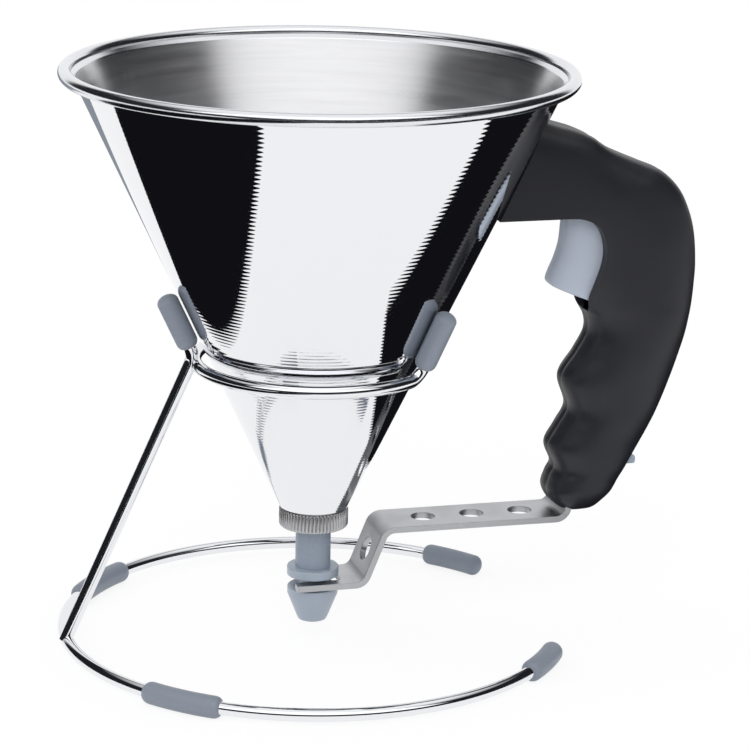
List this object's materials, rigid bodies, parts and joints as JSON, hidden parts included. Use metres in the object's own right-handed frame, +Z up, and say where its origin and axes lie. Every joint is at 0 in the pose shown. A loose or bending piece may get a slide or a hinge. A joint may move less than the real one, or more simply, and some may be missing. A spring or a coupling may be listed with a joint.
{
  "type": "batter dispenser",
  "caption": "Funnel with a rolled rim and a pistol grip whose trigger lifts a forked arm and a spool-shaped nozzle to let batter out, resting in an open wire ring stand.",
  "frame": {"origin": "point of the worktop on the funnel's axis, straight below the nozzle, in the middle of the stand's base ring", "axes": "+X from the funnel's axis towards the handle, +Z up along the funnel's axis, +Y to the left when looking along +X; the object mirrors about the XZ plane"},
  "size_m": [0.2019, 0.16, 0.1798],
  "materials": {
    "polished_steel": "polished outside, satin inside, with fine turning marks",
    "satin_steel": "satin",
    "nut_steel": "satin, straight knurl",
    "polished_wire": "bright polished",
    "sleeve_rubber": "satin blue grey",
    "dark_plastic": "satin charcoal",
    "trigger_plastic": "smooth pale blue grey",
    "nozzle_plastic": "smooth blue grey",
    "gland_plastic": "plain grey",
    "seal_rubber": "plain black",
    "spring_steel": "plain wire"
  },
  "bodies": {
    "stand": {"base_ring": "polished_wire", "leg": "polished_wire", "cradle": "polished_wire", "foot_sleeve_left": "sleeve_rubber", "foot_sleeve_right": "sleeve_rubber", "end_cap_left": "sleeve_rubber", "end_cap_right": "sleeve_rubber", "prong_sleeve_rear": "sleeve_rubber", "prong_sleeve_left": "sleeve_rubber", "prong_sleeve_right": "sleeve_rubber"},
    "funnel": {"funnel_cone": "polished_steel", "outlet_collar": "satin_steel", "valve_gland": "gland_plastic", "gland_gasket": "seal_rubber", "gland_o_rings": "seal_rubber", "handle_bracket": "satin_steel", "handle_shell_right": "dark_plastic", "handle_shell_left": "dark_plastic", "handle_screws": "spring_steel", "pivot_pin": "satin_steel", "return_spring": "spring_steel"},
    "nut": {"knurled_nut": "nut_steel"},
    "arm": {"arm_strip": "satin_steel", "lever": "trigger_plastic", "trigger": "trigger_plastic", "trigger_screws": "spring_steel", "catch_spring": "spring_steel"},
    "catch": {"arm_catch": "trigger_plastic"},
    "nozzle": {"valve_tube": "nozzle_plastic", "nozzle_spool": "nozzle_plastic"}
  },
  "joints": [
    {"name": "funnel_lift", "type": "slide", "parent": "stand", "child": "funnel", "axis": [0, 0, 1], "range_m": [0, 0.12]},
    {"name": "arm_pivot", "type": "hinge", "parent": "funnel", "child": "arm", "pos_m": [0.0885, 0, 0.045], "axis": [0, 1, 0], "range_deg": [0, 3.56], "stiffness_Nm_per_rad": 6, "springref_deg": -1.72, "deforming": ["return_spring"]},
    {"name": "nozzle_rise", "type": "slide", "parent": "funnel", "child": "nozzle", "axis": [0, 0, 1], "range_m": [0, 0.0056]},
    {"name": "nut_turn", "type": "hinge", "parent": "funnel", "child": "nut", "pos_m": [0, 0, 0.0388], "axis": [0, 0, -1], "range_deg": [0, 720]},
    {"name": "catch_slide", "type": "slide", "parent": "arm", "child": "catch", "axis": [1, 0, 0], "range_m": [0, 0.0025], "stiffness_N_per_m": 800, "springref_m": -0.0015, "deforming": ["catch_spring"]}
  ],
  "couplings": [
    {"joint": "nozzle_rise", "follows": "arm_pivot", "m_per_rad": 0.0885}
  ]
}
